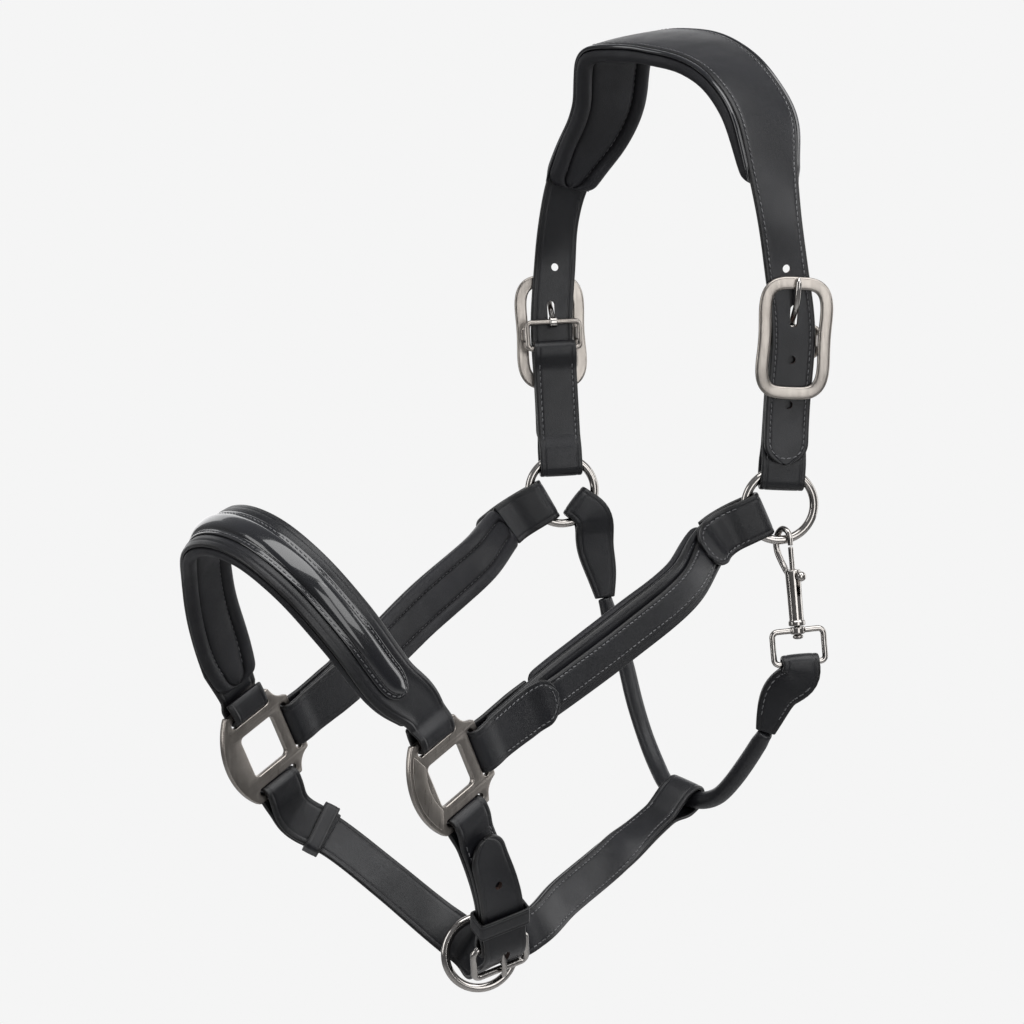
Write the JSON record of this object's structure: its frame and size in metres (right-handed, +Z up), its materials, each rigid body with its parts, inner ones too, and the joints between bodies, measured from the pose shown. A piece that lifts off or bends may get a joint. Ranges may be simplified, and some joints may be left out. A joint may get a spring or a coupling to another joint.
{
  "type": "leather headcollar",
  "caption": "Padded leather headcollar for a horse: buckled headpiece, noseband, cheekpieces, chin strap, rolled throatlatch with a snap hook, rings and square dees.",
  "frame": {"origin": "the poll: the middle of the underside of the crown's lining, where a horse's head carries the headcollar", "axes": "+Z up, -Y the way the horse faces, +X its left (near) side, which has the snap hook"},
  "size_m": [0.2314, 0.3781, 0.5321],
  "materials": {
    "black_leather": "smooth bridle leather, soft sheen",
    "soft_leather": "soft matt lining leather",
    "patent_leather": "high gloss",
    "foam": "hidden padding",
    "gunmetal": "polished black nickel",
    "spring_steel": "drawn wire"
  },
  "bodies": {
    "collar": {"near_short_cheek_strap": "black_leather", "near_cheek_base": "black_leather", "near_cheek_ring_chape": "black_leather", "near_cheek_square_chape": "black_leather", "near_cheek_strip": "black_leather", "near_cheek_lining": "soft_leather", "near_cheek_foam": "foam", "near_headpiece_buckle": "gunmetal", "near_square": "gunmetal", "far_short_cheek_strap": "black_leather", "far_cheek_base": "black_leather", "far_cheek_ring_chape": "black_leather", "far_cheek_square_chape": "black_leather", "far_cheek_strip": "black_leather", "far_cheek_lining": "soft_leather", "far_cheek_foam": "foam", "far_headpiece_buckle": "gunmetal", "far_square": "gunmetal", "headpiece_strap": "black_leather", "noseband_strap": "black_leather", "chin_strap": "black_leather", "near_chin_chape": "black_leather", "far_chin_keeper": "black_leather", "near_chin_keeper": "black_leather", "jowl_strap": "black_leather", "throatlatch_roll": "black_leather", "far_throat_tab": "black_leather", "near_throat_tab": "black_leather", "headpiece_lining": "soft_leather", "noseband_lining": "soft_leather", "headpiece_foam": "foam", "noseband_foam": "foam", "noseband_patent_strip": "patent_leather", "headpiece_front_piping": "patent_leather", "headpiece_back_piping": "patent_leather", "chin_buckle_frame": "gunmetal", "snap_eye": "gunmetal"},
    "near_ring_body": {"near_ring": "gunmetal"},
    "far_ring_body": {"far_ring": "gunmetal"},
    "chin_ring_body": {"chin_ring": "gunmetal"},
    "near_tongue": {"near_headpiece_tongue": "gunmetal"},
    "far_tongue": {"far_headpiece_tongue": "gunmetal"},
    "chin_tongue": {"chin_buckle_tongue": "gunmetal"},
    "snap": {"snap_body": "gunmetal", "snap_spring": "spring_steel"},
    "bolt": {"snap_bolt": "gunmetal"}
  },
  "joints": [
    {"name": "near_ring_spin", "type": "hinge", "parent": "collar", "child": "near_ring_body", "pos_m": [0.086, -0.003, -0.25], "axis": [0.8057, -0.589, -0.0634], "continuous": true},
    {"name": "far_ring_spin", "type": "hinge", "parent": "collar", "child": "far_ring_body", "pos_m": [-0.086, -0.003, -0.25], "axis": [-0.8057, 0.589, -0.0634], "continuous": true},
    {"name": "chin_ring_spin", "type": "hinge", "parent": "collar", "child": "chin_ring_body", "pos_m": [0.01077, -0.16179, -0.4908], "axis": [0.8829, -0.4695, 0], "continuous": true},
    {"name": "near_headpiece_tongue_lift", "type": "hinge", "parent": "collar", "child": "near_tongue", "pos_m": [0.09244, -0.002, -0.1507], "axis": [0.5872, 0.8082, -0.0462], "range_deg": [0, 20]},
    {"name": "far_headpiece_tongue_lift", "type": "hinge", "parent": "collar", "child": "far_tongue", "pos_m": [-0.09244, -0.004, -0.1507], "axis": [-0.5872, -0.8082, -0.0462], "range_deg": [0, 20]},
    {"name": "chin_tongue_lift", "type": "hinge", "parent": "collar", "child": "chin_tongue", "pos_m": [0.056, -0.1905, -0.475], "axis": [-0.3168, -0.9076, -0.2754], "range_deg": [0, 20]},
    {"name": "snap_swivel", "type": "hinge", "parent": "collar", "child": "snap", "pos_m": [0.09296, 0.00021, -0.28574], "axis": [-0.0606, -0.0627, 0.9962], "range_deg": [-12, 3]},
    {"name": "bolt_slide", "type": "slide", "parent": "snap", "child": "bolt", "axis": [0.0606, 0.0627, -0.9962], "range_m": [0, 0.0075], "stiffness_N_per_m": 250, "springref_m": -0.004, "deforming": ["snap_spring"]}
  ]
}
